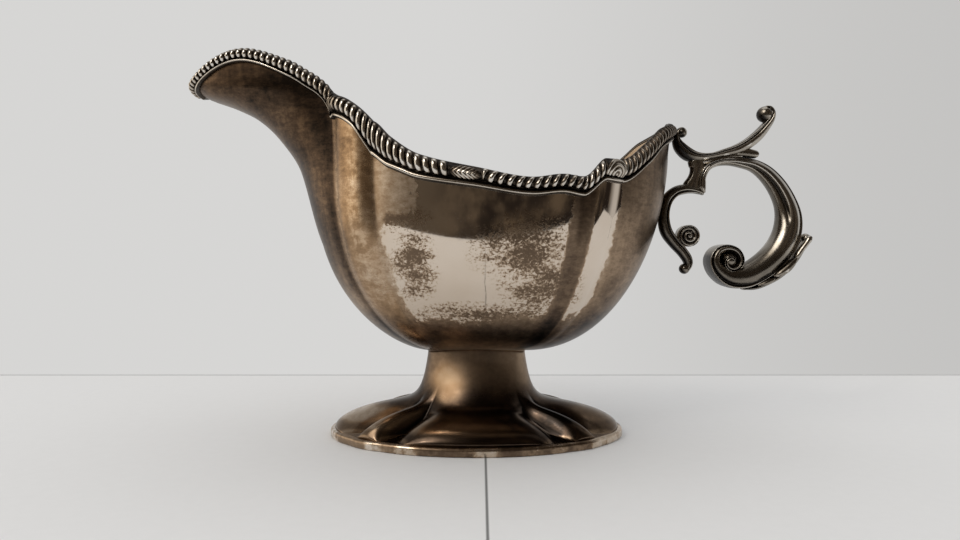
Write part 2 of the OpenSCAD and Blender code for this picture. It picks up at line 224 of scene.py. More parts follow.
def bowl_point(t, z):
    """Outer surface of the bowl's right side at stations t and heights z."""
    t, z = np.broadcast_arrays(np.asarray(t, float), np.asarray(z, float))
    a = np.radians(angle_at(t))
    fluting = np.clip((z - SEAT_Z) / FLUTE_FADE, 0, 1)
    n = FLUTE_H * swell(t) * fluting
    half = profile(z, SEAT_B, BODY_HALF_W, BELLY_Z, FRONT_FULL, FRONT_FLARE) + n
    oval = profile(z, SEAT_A, BODY_FRONT, BELLY_Z, FRONT_FULL, FRONT_FLARE) + BOWL_X
    tip = curve(SPOUT_LINE, z)
    back = profile(z, SEAT_A, BODY_BACK, BACK_Z, BACK_FULL, BACK_FLARE)
    back = back - BOWL_X - FLUTE_H * PANEL_SWELL[4] * fluting
    share = np.clip(np.degrees(a) / CREASES[1], 0, 1)
    long = np.where(np.degrees(a) < 90, oval, back) + n
    x = BOWL_X - long * np.cos(a) - tip * (1 - share**SPOUT_FILL)
    y = half * np.sin(a)
    lift = BOTTOM_LIFT * np.sin(a) ** 2 * np.clip(1 - (z - SEAT_Z) / LIFT_FADE, 0, 1) ** 2
    return np.stack([x, y, z + lift], axis=-1)


def edge_z(t):
    """Height of the bowl's edge at station t."""
    return curve(RIM_LINE, t) - BORDER_RISE


def bowl_normals(t, z):
    """Outward normals on a grid of stations t by heights z (one row of heights a station)."""
    dt = 0.004
    dz = 0.15
    along = bowl_point(np.minimum(t + dt, 5)[:, None], z) - bowl_point(np.maximum(t - dt, 0)[:, None], z)
    up = bowl_point(t[:, None], z + dz) - bowl_point(t[:, None], np.maximum(z - dz, SEAT_Z))
    n = np.cross(up, along)
    ends = (t <= dt) | (t >= 5 - dt)
    n[ends, :, 1] = 0
    return unit(n)


def spaced_stations(step):
    """Stations from spout to handle at even steps along the rim, and the length run to each."""
    t = np.linspace(0, 5, 6001)
    p = bowl_point(t, edge_z(t))
    run = np.concatenate([[0], np.cumsum(np.linalg.norm(np.diff(p, axis=0), axis=1))])
    n = int(run[-1] / step)
    s = np.linspace(0, run[-1], n + 1)
    return np.interp(s, run, t), s


def full_ring(half, mirror=(1, -1, 1)):
    """A ring from its right half, without doubling the two points in the middle plane."""
    return np.concatenate([half, half[-2:0:-1] * mirror])


def make_bowl(material):
    t, _ = spaced_stations(BOWL_STEP)
    share = np.linspace(0, 1, BOWL_ROWS) ** ROW_CROWD
    top = edge_z(t)
    z = SEAT_Z + (top[:, None] - SEAT_Z) * share[None, :]
    outer = bowl_point(t[:, None], z)
    inner = outer - bowl_normals(t, z) * SHEET_T
    inner[:, :, 2] = np.maximum(inner[:, :, 2], SEAT_Z + SHEET_T)
    inner[:, -1, 2] = outer[:, -1, 2]
    inner[:, 0, :2] *= INNER_FLOOR
    rings = [full_ring(inner[:, 0] * [scale, scale, 1]) for scale in FLOOR_RINGS]
    rings += [full_ring(inner[:, j]) for j in range(BOWL_ROWS)]
    rings += [full_ring(outer[:, j]) for j in range(BOWL_ROWS - 1, -1, -1)]
    rings += [full_ring(outer[:, 0] * [scale, scale, 1]) for scale in BASE_RINGS]
    points = np.stack(rings)
    n, m = points.shape[:2]
    piece = make_mesh("bowl_body", points.reshape(-1, 3), tube_faces(n, m), material, "bowl_silver", "bowl")
    paint(piece, "station", np.tile(full_ring(t, 1), n))
    outside = np.zeros((n, m))
    outside[len(FLOOR_RINGS) + BOWL_ROWS:] = 1
    paint(piece, "outside", outside)


# ---- border ----

# Spacing of the border's points along the rim
STEP = 0.17
# Heights of the smooth fillet and of the hollow over it, along the stations
FILLET_LINE = [[0, 0.6], [1, 1.3], [2, 1.9], [3, 1.6], [4, 1.5], [5, 1.1]]
HOLLOW_LINE = [[0, 0.2], [0.5, 0.5], [1, 0.6], [2, 0.6], [2.5, 0.4], [3, 0.5], [5, 0.4]]
# Share of the fillet's height, and how far out
FILLET_PROFILE = [(0, 0.02), (0, 0.4), (0.12, 0.8), (0.35, 1.15), (0.6, 1.2), (0.85, 0.9), (1, 0.45)]
# Share of the roll's height, and how far out its smooth core is
ROLL_PROFILE = [[0, 0.3], [0.12, 0.72], [0.3, 1.12], [0.5, 1.28], [0.7, 1.2], [0.85, 0.95], [1, 0.4]]
# Share of the hollow's height, and how far out
HOLLOW_PROFILE = [(0.25, 0.16), (0.75, 0.12)]
# Share of bead at the roll's lower edge, how much it grows to the upper one, and then over the top
SHARE_LOW = 0.02
SHARE_ROLL = 0.8
SHARE_TOP = 0.42
# Where the top starts, outside the edge, and how far it reaches past the sheet's inner side
TOP_OUT = 0.4
TOP_PAST = 0.15
# Distance along the rim in which the border's direction is evened out
EVEN_OUT = 0.9
BEAD_H = 0.85
# Width of a bead as a share of the pitch
BEAD_SHARE = 0.84
# How square and how steep the beads are across and along, and how lopsided a skewed one is
BEAD_ACROSS = (2.2, 0.6)
BEAD_ALONG = (3.6, 0.55)
BEAD_SKEW = 0.8
ROLL_ROWS = 22
TOP_ROWS = 8
# Pitch of the beads, and their lean along the rim for each mm up the roll, by station
PITCH_LINE = [[0, 1.55], [0.3, 1.75], [0.6, 1.9], [0.95, 1.8], [1.1, 1.3], [1.3, 2], [2, 2.1], [2.25, 2.35],
              [2.5, 2.4], [2.9, 2.3], [3.2, 2.1], [3.9, 1.5], [4.1, 1.9], [4.5, 1.8], [5, 1.2]]
LEAN_LINE = [[0, 0.4], [0.4, 0.2], [1, 0.2], [1.5, 0.15], [2, -0.05], [2.35, -0.2], [2.5, 0.3],
             [2.9, 0.4], [3.5, 0.1], [5, 0]]
# Height of the beads, and the share of the roll that is plain above them, by station
SIZE_LINE = [[0, 0.85], [0.5, 1], [1, 0.8], [2, 1.1], [3, 1], [4, 0.9], [5, 0.6]]
PLAIN_LINE = [[0, 0], [0.8, 0], [1.2, 0.12], [2.8, 0.12], [3.5, 0.06], [5, 0]]
# Stations between which the beads are skewed
SKEW_START = (2.48, 2.6)
SKEW_END = (3.1, 3.0)
# Middle stations of the fan, the leaf and the shell, and half their lengths along the rim
FAN_STATION = 1.04
FAN_HALF = (2.6, 2.1)
FAN_RIBS = 9
LEAF_STATION = 2.46
LEAF_HALF = 4.2
LEAF_MIDDLE = 0.42
SHELL_STATION = 3.72
SHELL_HALF = (3.5, 3.0)
SHELL_R = (4.4, 3.9)
SHELL_RIBS = 2.6
# How pale the fillet's crest and a line along the top are against a bead's crest, from wear and a painted
# highlight
FILLET_WEAR_AND_HIGHLIGHT = 0.85
TOP_WEAR_AND_HIGHLIGHT = 0.6


def gauss_rows(values, sigma_mm, step):
    """values smoothed along the first axis, with the ends held."""
    half = int(3 * sigma_mm / step)
    w = np.exp(-0.5 * (np.arange(-half, half + 1) * step / sigma_mm) ** 2)
    w /= w.sum()
    padded = np.concatenate([np.repeat(values[:1], half, 0), values, np.repeat(values[-1:], half, 0)])
    out = np.zeros_like(values)
    for k, weight in enumerate(w):
        out += weight * padded[k:k + len(values)]
    return out


def bead_shape(x, w, skew):
    """Height 0..1 of the beads at x pitches along the rim and share w up the roll."""
    f = x - np.floor(x)
    f = f ** (1 + BEAD_SKEW * skew)
    across = np.clip(1 - np.abs((2 * f - 1) / BEAD_SHARE) ** BEAD_ACROSS[0], 0, 1) ** BEAD_ACROSS[1]
    up = np.clip(1 - np.abs(2 * w - 1) ** BEAD_ALONG[0], 0, 1) ** BEAD_ALONG[1]
    return across * up


def border_surface():
    """The right side's border: stations, run to each, grid of points, rows' bead and roll's height."""
    t, s = spaced_stations(STEP)
    z1 = edge_z(t)
    z0 = z1 + BORDER_RISE - curve(BAND_LINE, t)
    fillet = curve(FILLET_LINE, t)
    hollow = curve(HOLLOW_LINE, t)
    roll0 = z0 + fillet + hollow
    roll_h = z1 - roll0
    # Rows of the fillet, the hollow and the roll: height, how far out, and share of bead
    rows = [(z0 + fillet * q, out, -1) for q, out in FILLET_PROFILE]
    rows += [(z0 + fillet + hollow * q, out, -1) for q, out in HOLLOW_PROFILE]
    for q in np.arange(ROLL_ROWS) / (ROLL_ROWS - 1):
        rows.append((roll0 + roll_h * q, float(curve(ROLL_PROFILE, q)), SHARE_LOW + SHARE_ROLL * q))
    z = np.stack([row[0] for row in rows], axis=1)
    out = np.array([row[1] for row in rows])
    share = [row[2] for row in rows]
    normal = unit(gauss_rows(bowl_normals(t, z), EVEN_OUT, STEP))
    base = bowl_point(t[:, None], z) + normal * out[:, None]
    # The top: from the roll's upper edge, over the sheet's edge, to its inner side
    edge = bowl_point(t, z1)
    tops = []
    for k in range(1, TOP_ROWS + 1):
        q = k / TOP_ROWS
        o = TOP_OUT - (SHEET_T + TOP_PAST + TOP_OUT) * q
        h = BORDER_RISE * math.sin(math.pi * min(1, q * 0.8 + 0.12)) * 1.1 - 0.9 * smooth(0.75, 1, q)
        tops.append(edge + normal[:, -1] * o + np.array([0, 0, h]))
        share.append(SHARE_LOW + SHARE_ROLL + SHARE_TOP * k / TOP_ROWS)
    grid = np.concatenate([base, np.stack(tops, axis=1)], axis=1)
    return t, s, grid, np.array(share), roll_h


def add_beads(t, s, grid, share, roll_h):
    """The grid moved out by the beads, the fan, the leaf and the shell."""
    normal = unit(np.cross(np.gradient(grid, axis=1), np.gradient(grid, axis=0)))
    pitch = curve(PITCH_LINE, t)
    count = np.concatenate([[0], np.cumsum(STEP / ((pitch[1:] + pitch[:-1]) / 2))])
    lean = curve(LEAN_LINE, t)
    inside = (share > 0) & (share < 1)
    plain = curve(PLAIN_LINE, t)[:, None]
    w = np.clip(share / (1 - plain), 0, 1)
    up_mm = (w - 0.4) * (roll_h[:, None] + 1.2)
    x = count[:, None] - lean[:, None] * up_mm / pitch[:, None]
    skew = smooth(*SKEW_START, t) * smooth(*SKEW_END, t)
    curl = 0.12 * skew[:, None] * (up_mm / np.maximum(roll_h[:, None], 1)) ** 2
    beads = bead_shape(x - curl * 4, w, skew[:, None])
    # A small fan at the cusp between the spout and the front lobe
    run = s[:, None]

    def at(station):
        return float(np.interp(station, t, s))

    fan_x = run - at(FAN_STATION)
    fan_y = w * (roll_h[:, None] + 1)
    angle = np.arctan2(fan_x, fan_y + 0.8)
    fan = np.abs(np.cos(angle * FAN_RIBS)) ** 0.8 * np.clip(1 - np.abs(2 * w - 0.95) ** 3, 0, 1) ** 0.5
    fan_mask = smooth(*FAN_HALF, np.abs(fan_x))
    # A leaf in the middle of the side, pointing to the handle
    leaf_x = (run - at(LEAF_STATION)) / LEAF_HALF
    leaf_y = w - LEAF_MIDDLE
    vein = np.abs(np.sin((leaf_x * LEAF_HALF - np.abs(leaf_y) * 5) * 2.6)) ** 0.7
    leaf = np.clip(1 - np.abs(leaf_x) ** 2.2 - np.abs(leaf_y / 0.5) ** 2.4, 0, 1) ** 0.5
    leaf = leaf * (0.55 + 0.4 * vein)
    leaf_mask = smooth(1.15, 0.95, np.abs(leaf_x))
    # A shell on the rear lobe, next to the last cusp
    shell_x = run - at(SHELL_STATION)
    shell_y = (w - 0.12) * (roll_h[:, None] + 1.4)
    radius = np.hypot(shell_x * 1.15, shell_y)
    shell = (0.45 + 0.5 * np.abs(np.cos(radius * SHELL_RIBS)) ** 0.7) * smooth(*SHELL_R, radius)
    shell_mask = smooth(*SHELL_HALF, np.abs(shell_x))
    height = beads
    for relief, mask in ((fan, fan_mask), (leaf, leaf_mask), (shell, shell_mask)):
        height = height * (1 - mask) + relief * mask
    height = np.where(inside, height, 0) * curve(SIZE_LINE, t)[:, None]
    # Paler places, from wear and a painted highlight: the beads' crests, the fillet's crest and a line along
    # the top
    wear_and_highlight = np.where(inside, height, 0)
    wear_and_highlight[:, 3:5] = FILLET_WEAR_AND_HIGHLIGHT
    wear_and_highlight[:, -5:-2] = TOP_WEAR_AND_HIGHLIGHT
    return grid + normal * (BEAD_H * height)[:, :, None], wear_and_highlight


def make_border(material):
    t, s, grid, share, roll_h = border_surface()
    grid, wear_and_highlight = add_beads(t, s, grid, share, roll_h)
    flip = np.array([1, -1, 1])

    def strip(name, points, wear, node):
        faces = grid_faces(*points.shape[:2])
        piece = make_mesh(name, points.reshape(-1, 3), faces, material, "border_silver", node)
        # The paint holds the pale crests and lines: wear and a painted highlight
        paint(piece, "bead", wear)

    end = int(np.searchsorted(t, 1))
    spout = np.concatenate([grid[end:0:-1] * flip, grid[:end + 1]])
    strip("spout_gadroons", spout, np.concatenate([wear_and_highlight[end:0:-1], wear_and_highlight[:end + 1]]), "border_spout")
    for lo, label in enumerate(("front_lobe", "side", "rear_lobe", "back"), 1):
        last = int(np.searchsorted(t, lo + 1)) if lo < 4 else len(t) - 1
        part = slice(int(np.searchsorted(t, lo)), last + 1)
        strip(f"{label}_gadroons_right", grid[part], wear_and_highlight[part], f"border_{label}_right")
        strip(f"{label}_gadroons_left", grid[part][::-1] * flip, wear_and_highlight[part][::-1], f"border_{label}_left")


# ---- foot ----

FOOT_A = 44.8
FOOT_B = 27.6
RIM_H = 2.6
RIM_W = 4.2
NECK_A = 14.8
NECK_B = 9.5
FOOT_INSET = 1.3
FOOT_WAVE = 0.012
FOOT_GROOVES = [0, 34.5, 52, 90]
# Height of the lobes' crowns above the rim strip and how late they fall: end, narrow and wide lobes
CROWN_H = np.array([9, 8.4, 7.4])
CROWN_FALL = np.array([1.7, 2.2, 2.4])
CROWN_ROUND = 0.55
# Squareness of the lobes across
LOBE_POWER = np.array([2.4, 2.4, 4.5])
# How much a lobe narrows at its toe, and how late it does so
TOE_NARROW = 0.25
TOE_POWER = 6
GROOVE_H = 8.4
GROOVE_FALL = 1.6
# Distance in which the neck flares into the lobes, at the ends and the sides
NECK_FLARE = (1.8, 2.6)
# Shares of the way out where the grooves start and where they are full
GROOVE_START = 0.08
GROOVE_FULL = 0.4
# Depth of the sharp line in a groove
GROOVE_CUT = 0.5
FOOT_SHEET = 1.0
# Points round the foot, and shares of the way out where its rows change their spacing
FOOT_SECTORS = 540
NECK_ROWS_END = 0.12
TOE_ROWS_START = 0.8
# Size of the inner side's lowest ring against the outer one's
INNER_TOE = (0.975, 0.962, 1)
# Section of the strip under the foot, with rounded edges: past the foot's outline, and height
STRIP_SECTION = [(-RIM_W, 0), (-0.9, 0), (-0.35, 0.08), (-0.08, 0.35), (0, 0.8), (0, 1.7), (-0.1, 2.2),
                 (-0.45, 2.52), (-0.9, RIM_H), (-RIM_W, RIM_H)]
# The solder line: half thickness outwards and upwards, distance out from the neck, and sides
SOLDER_R = (0.4, 0.34)
SOLDER_OUT = 0.05
SOLDER_SIDES = 10


def foot_height(neck, h, shape):
    """Height of a sheet that comes down to h above the strip with neck, and on to it with shape."""
    return RIM_H + h * shape + (SEAT_Z - RIM_H - h) * neck


def folded(a):
    """The angle in degrees, folded into the first quarter."""
    b = np.mod(a, 180)
    return np.where(b > 90, 180 - b, b)


def lobe_kind(a):
    """0 on the end lobes of the foot, 1 on the narrow ones, 2 on the wide ones."""
    b = folded(a)
    return np.where(b < FOOT_GROOVES[1], 0, np.where(b < FOOT_GROOVES[2], 1, 2))


def lobe(a, share=0.0):
    """0 in a groove of the foot, 1 on the crown of a lobe."""
    k = lobe_kind(a)
    lo = np.where(k == 0, -FOOT_GROOVES[1], np.take(FOOT_GROOVES, k))
    hi = np.where(k == 2, 180 - FOOT_GROOVES[2], np.take(FOOT_GROOVES, k + 1))
    f = (folded(a) - lo) / (hi - lo)
    wide = 1 - TOE_NARROW * share**TOE_POWER
    shape = np.maximum(0, 1 - (np.abs(2 * f - 1) / wide) ** LOBE_POWER[k])
    return np.sqrt(shape**2 + 0.05**2) - 0.05


def foot_point(a, share):
    a, share = np.broadcast_arrays(np.asarray(a, float), np.asarray(share, float))
    r = np.radians(a)
    s = 1 - FOOT_WAVE * (1 - lobe(a))
    nx, ny = -NECK_A * np.cos(r), NECK_B * np.sin(r)
    ox, oy = -(FOOT_A - FOOT_INSET) * s * np.cos(r), (FOOT_B - FOOT_INSET) * s * np.sin(r)
    flare = NECK_FLARE[0] + (NECK_FLARE[1] - NECK_FLARE[0]) * np.sin(r) ** 2
    neck = np.exp(-share * np.hypot(ox - nx, oy - ny) / flare)
    k = lobe_kind(a)
    crown = lobe(a, share)
    plain = foot_height(neck, CROWN_H[0], (1 - share ** CROWN_FALL[0]) ** CROWN_ROUND)
    high = foot_height(neck, CROWN_H[k], (1 - share ** CROWN_FALL[k]) ** CROWN_ROUND)
    low = foot_height(neck, GROOVE_H, (1 - share) ** GROOVE_FALL)
    lobed = low + (high - low) * crown
    z = plain + (lobed - plain) * smooth(GROOVE_START, GROOVE_FULL, share)
    cut = np.exp(-((crown / 0.16) ** 2)) * smooth(0.2, 0.45, share) * smooth(0.8, 0.65, share)
    z = z - GROOVE_CUT * cut
    z = z + BOTTOM_LIFT * np.sin(r) ** 2 * np.clip(1 - share / 0.03, 0, 1)
    return np.stack([nx + (ox - nx) * share, ny + (oy - ny) * share, z], axis=-1)


def make_foot(material, rim_material):
    a = np.linspace(0, 360, FOOT_SECTORS + 1)[:-1]
    r = np.radians(a)
    share = np.concatenate([
        np.linspace(0, NECK_ROWS_END, 26)[:-1],
        np.linspace(NECK_ROWS_END, TOE_ROWS_START, 44)[:-1],
        np.linspace(TOE_ROWS_START, 1, 26),
    ])
    outer = foot_point(a[None, :], share[:, None])
    normal = unit(np.cross(np.gradient(outer, axis=1), np.gradient(outer, axis=0)))
    inner = outer - normal * FOOT_SHEET
    inner[-1] = outer[-1] * INNER_TOE
    rows = np.concatenate([inner[::-1], outer])
    piece = make_rings("foot_body", rows, material, "foot_silver", "foot")
    crown = lobe(a[None, :], share[:, None])
    paint(piece, "crown", np.concatenate([crown[::-1], crown]))
    make_foot_strip(a, r, rim_material)
    make_solder(r, material)


def make_foot_strip(a, r, material):
    """The strip under the foot. Its inner edge is a plain oval and the rest follows the lobes."""
    wave = 1 - FOOT_WAVE * (1 - lobe(a))
    rows = []
    for d, z in STRIP_SECTION:
        w = np.ones_like(wave) if d == -RIM_W else wave
        x = -(FOOT_A + d) * w * np.cos(r)
        y = (FOOT_B + d) * w * np.sin(r)
        rows.append(np.stack([x, y, np.full_like(x, z)], axis=-1))
    make_rings("foot_strip", rows, material, "foot_silver", "foot_rim")


def make_solder(r, material):
    """The solder line round the top of the neck."""
    rows = []
    for k in range(SOLDER_SIDES):
        b = 2 * math.pi * k / SOLDER_SIDES
        out = SOLDER_OUT + SOLDER_R[0] * math.cos(b)
        z = SEAT_Z + SOLDER_OUT + BOTTOM_LIFT * np.sin(r) ** 2 + SOLDER_R[1] * math.sin(b)
        rows.append(np.stack([-(NECK_A + out) * np.cos(r), (NECK_B + out) * np.sin(r), z], axis=-1))
    piece = make_rings("neck_solder", rows, material, "foot_silver")
    paint(piece, "crown", np.ones(SOLDER_SIDES * len(r)))


# ---- handle ----


def catmull(points, n):
    """Finer points on the smooth curve through the points, n to a stretch."""
    p = np.array(points, float)
    a = np.concatenate([p[:1], p[:-2]])
    b, c = p[:-1], p[1:]
    d = np.concatenate([p[2:], p[-1:]])
    f = (np.arange(n) / n)[None, :, None]
    a, b, c, d = (v[:, None, :] for v in (a, b, c, d))
    q = 0.5 * (2 * b + (c - a) * f + (2 * a - 5 * b + 4 * c - d) * f**2 + (3 * b - a - 3 * c + d) * f**3)
    return np.concatenate([q.reshape(-1, p.shape[1]), p[-1:]])


def sweep(points, sections, sides=56):
    """Solid along points [x, z, half size in the middle plane, half width across it].

    sections holds pairs: a share of the way, and the width against the place from edge to edge.
    """
    q = catmull(points, 8)
    m = len(q)
    d = unit(np.gradient(q[:, :2], axis=0))
    side = np.stack([-d[:, 1], d[:, 0]], axis=-1)
    ang = np.linspace(0, 2 * math.pi, sides + 1)[:-1]
    a = np.cos(ang)
    marks = np.array([k for k, _ in sections])
    shapes = np.stack([curve(table, a) for _, table in sections])
    rings = []
    for i in range(m):
        f = i / (m - 1)
        k = int(np.clip(np.searchsorted(marks, f, side="right") - 1, 0, len(marks) - 2))
        g = float(smooth(0, 1, np.array((f - marks[k]) / (marks[k + 1] - marks[k]))))
        b = shapes[k] * (1 - g) + shapes[k + 1] * g
        x = q[i, 0] + side[i, 0] * a * q[i, 2]
        z = q[i, 1] + side[i, 1] * a * q[i, 2]
        y = -np.sign(np.sin(ang)) * b * q[i, 3]
        y[np.abs(np.sin(ang)) < 1e-6] = 0
        rings.append(np.stack([x, y, z], axis=-1))
    return np.concatenate(rings), tube_faces(m, sides)


def ball(x, z, r, across=1.0, n=28):
    """A ball that is across times as wide as it is high."""
    lat = np.linspace(0.02, math.pi - 0.02, n)
    lon = np.linspace(0, 2 * math.pi, 2 * n + 1)[:-1]
    la, lo = np.meshgrid(lat, lon, indexing="ij")
    level = r * np.sin(la)
    p = np.stack([x + level * np.cos(lo), across * level * np.sin(lo), z + r * np.cos(la)], axis=-1)
    return p.reshape(-1, 3), tube_faces(n, 2 * n)


def coil_disc(x, z, r, half, pitch, depth, n=26, m=72):
    """A flat disc across the boat whose two faces carry a raised spiral."""
    rho = np.linspace(0.03, 1, n)
    phi = np.linspace(0, 2 * math.pi, m + 1)[:-1]
    rr, pp = np.meshgrid(rho, phi, indexing="ij")
    wave = np.abs(np.sin(math.pi * (rr * r / pitch - pp / (2 * math.pi)))) ** 0.8
    h = half - depth * (1 - wave) * smooth(1.0, 0.86, rr) * smooth(0.0, 0.12, rr)
    h = h - 0.45 * smooth(0.86, 1.0, rr) ** 2
    front = np.stack([x + rr * r * np.cos(pp), -h, z + rr * r * np.sin(pp)], axis=-1)
    back = front * [1, -1, 1]
    rings = np.concatenate([front, back[::-1]])
    return rings.reshape(-1, 3), tube_faces(2 * n, m)


# Half width across, against the place from the inner or lower edge to the outer or upper one
ROUND = [[-1, 0], [-0.97, 0.28], [-0.85, 0.58], [-0.5, 0.88], [0, 1], [0.5, 0.88], [0.85, 0.58],
         [0.97, 0.28], [1, 0]]
EDGED = [[-1, 0], [-0.96, 0.3], [-0.8, 0.62], [-0.4, 0.9], [0, 1], [0.28, 0.95], [0.42, 0.74], [0.52, 0.72],
         [0.62, 0.9], [0.82, 0.92], [0.95, 0.6], [1, 0]]
BANDED = [[-1, 0], [-0.97, 0.3], [-0.88, 0.52], [-0.6, 0.62], [-0.42, 0.6], [-0.33, 0.48],
          [-0.26, 0.62], [-0.14, 0.95], [0, 1], [0.3, 0.92], [0.6, 0.72], [0.8, 0.5], [0.86, 0.44],
          [0.92, 0.5], [0.97, 0.3], [1, 0]]
BROAD = [[-1, 0], [-0.97, 0.28], [-0.9, 0.5], [-0.75, 0.7], [-0.5, 0.88], [-0.2, 0.98], [0.1, 1], [0.4, 0.92],
         [0.62, 0.76], [0.74, 0.62], [0.84, 0.6], [0.91, 0.64], [0.97, 0.4], [1, 0]]
RIBBON = [[-1, 0], [-0.97, 0.3], [-0.85, 0.6], [-0.5, 0.86], [-0.1, 0.98], [0.25, 0.95],
          [0.5, 0.84], [0.66, 0.74], [0.74, 0.86], [0.84, 0.96], [0.94, 0.75], [1, 0]]

# Centre lines: place along the boat, height, half size in the middle plane and half width across it
UPPER = [[62.9, 92.3, 0.2, 1.6], [63.4, 92.9, 0.35, 1.7], [62.9, 93.6, 0.45, 1.75], [61.9, 93.3, 0.55, 1.8],
         [61.2, 92.1, 0.75, 1.9], [61.1, 90.2, 1.15, 2.1], [62.2, 87.9, 1.75, 2.4], [64.8, 85.7, 1.95, 2.5],
         [68, 84.9, 1.45, 2.3], [71.8, 85.2, 1.1, 2.1], [76, 86.2, 1.4, 2], [79.5, 87.2, 1.65, 2],
         [83, 89.1, 1.7, 2.1], [86.2, 91.7, 1.65, 2.1], [88.6, 94.5, 1.35, 2.2], [90, 96.6, 1.05, 2.3],
         [90.4, 98.4, 0.75, 2.3], [89.6, 99.9, 0.5, 2.1], [88.3, 100.3, 0.3, 1.8]]
SPUR = [[79.5, 86.4, 1.4, 1.5], [82, 86.3, 1.5, 1.5], [84.2, 86, 1.4, 1.4], [85.6, 85.8, 1.2, 1.2],
        [86.2, 85.6, 0.7, 1]]
# Fills the narrow gap between the upper scroll and the loop
WEB = [[66.5, 83.6, 1.2, 1.5], [69.5, 83.8, 1.3, 1.4], [73.5, 84.4, 1.0, 1.3], [77.5, 85.2, 1.0, 1.3],
       [81, 85.4, 1.0, 1.3]]
LOOP = [[69.7, 74.0, 0.5, 1.2], [69.2, 75.2, 1.1, 1.7], [69, 76.8, 1.3, 1.9], [69.2, 79, 1.15, 2],
        [70.6, 81.6, 1.05, 2.1], [73.4, 83.1, 1, 2.2], [77.2, 83.6, 1.2, 2.3], [81.2, 83.2, 1.55, 2.5],
        [84.9, 82.3, 1.9, 2.7], [88.6, 79.9, 2.4, 3], [92, 76, 2.8, 3.3], [94.5, 71.3, 3.2, 3.6],
        [95.6, 66.8, 3.7, 3.9], [95.2, 62, 3.95, 4.3], [93.4, 57.7, 4, 4.6], [90.4, 54, 3.9, 4.8],
        [86.6, 50.9, 3.8, 4.9], [82, 48.5, 3.6, 4.9], [77.4, 48.2, 3.1, 4.8], [74, 50.3, 2.45, 4.6],
        [72.5, 53.3, 1.9, 4.4], [73.4, 56, 1.5, 4.2], [76, 57.1, 1.25, 4.1], [78.8, 56.3, 1.1, 4.1],
        [80.2, 54.0, 1, 4.15], [79.7, 51.8, 0.95, 4.2], [77.9, 50.8, 0.85, 4.3], [76.2, 51.5, 0.75, 4.4],
        [75.8, 53.1, 0.65, 4.5], [76.9, 54.1, 0.55, 4.6], [78, 53.4, 0.5, 4.7]]
STRUT = [[67, 84.2, 2.4, 1.8], [67.6, 82, 2.5, 1.7], [67.1, 80, 1.8, 1.6], [66.6, 78.2, 2, 1.65],
         [66, 76.4, 2.6, 1.7], [65.6, 74.9, 2.9, 1.6]]
BRACKET = [[69.5, 73.6, 0.3, 1.1], [68.3, 74.3, 0.7, 1.6], [66.4, 74.9, 1, 1.8], [63.8, 75.2, 1.5, 2.1],
           [60.9, 74.4, 1.6, 2.2], [58.6, 72.2, 1.7, 2.3], [57.6, 69, 1.55, 2.3], [57.4, 65.6, 1.7, 2.3],
           [58.3, 62, 1.8, 2.2], [60.6, 58.8, 1.7, 2], [63, 56.2, 1.6, 1.9], [64.6, 53.9, 1.5, 1.8],
           [65, 52, 1.2, 1.7], [64.4, 50.4, 0.9, 1.5]]


# The leaves of the spray, which are in pairs, and the stem between them
LEAVES = [
    [[101.6, 60.6, 0.6, 0.8], [101, 59.9, 1.0, 1.2], [100.2, 58.7, 0.9, 1.2], [98.6, 56.6, 0.9, 1.3],
     [97.4, 54.8, 0.8, 1.2], [96.8, 53.6, 0.4, 0.7]],
    [[97.4, 54.4, 0.4, 0.8], [96, 52.8, 1.1, 1.6], [94.2, 51, 1.35, 1.8], [92, 49.4, 1.1, 1.6],
     [90.4, 48.6, 0.4, 0.7]],
    [[90.6, 47.9, 0.4, 0.8], [89.2, 47.2, 0.9, 1.3], [87.4, 46.4, 0.8, 1.2], [85.6, 45.8, 0.35, 0.6]],
]
LEAF_OUT = 2.6
STEM = [[101.2, 60.2, 0.6, 1.2], [100, 57.6, 0.9, 2], [98.2, 54.5, 0.9, 2.6], [95.8, 51.5, 0.9, 3],
        [92.7, 48.7, 0.9, 3.1], [89, 46.5, 0.8, 3.1], [85.4, 45, 0.6, 3], [82, 44.6, 0.3, 2.6]]
# Balls: place along the boat, height, radius, and width against height
THUMB_BALL = (88.2, 98, 2.45, 1.1)
START_BALL = (62.8, 92.5, 1.6, 1.2)
COIL_BALL = (77.3, 53.4, 2.9, 1.3)
TAIL_BALL = (63.9, 50.8, 1.6, 1.15)
STEM_BALL = (101, 60.2, 1.45, 1.4)
# The bracket's volute: place, radius, half width, pitch of the spiral and its depth
VOLUTE = (64.8, 60.9, 3.3, 2.5, 1.25, 0.75)
# Cross-sections along the pieces: share of the way, and table
PLAIN_SECTIONS = [(0, ROUND), (1, ROUND)]
UPPER_SECTIONS = [(0, ROUND), (0.2, ROUND), (0.34, EDGED), (0.85, EDGED), (1, ROUND)]
LOOP_SECTIONS = [(0, ROUND), (0.15, EDGED), (0.3, BANDED), (0.36, BANDED), (0.43, BROAD), (0.52, BROAD),
                 (0.6, RIBBON), (1, RIBBON)]
BRACKET_SECTIONS = [(0, ROUND), (0.2, EDGED), (0.9, EDGED), (1, ROUND)]


def leaf_spray():
    parts = []
    for side in (-1, 1):
        for line in LEAVES:
            points, faces = sweep(line, PLAIN_SECTIONS, sides=28)
            parts.append((points + [0, side * LEAF_OUT, 0], faces))
    return parts + [sweep(STEM, PLAIN_SECTIONS), ball(*STEM_BALL)]


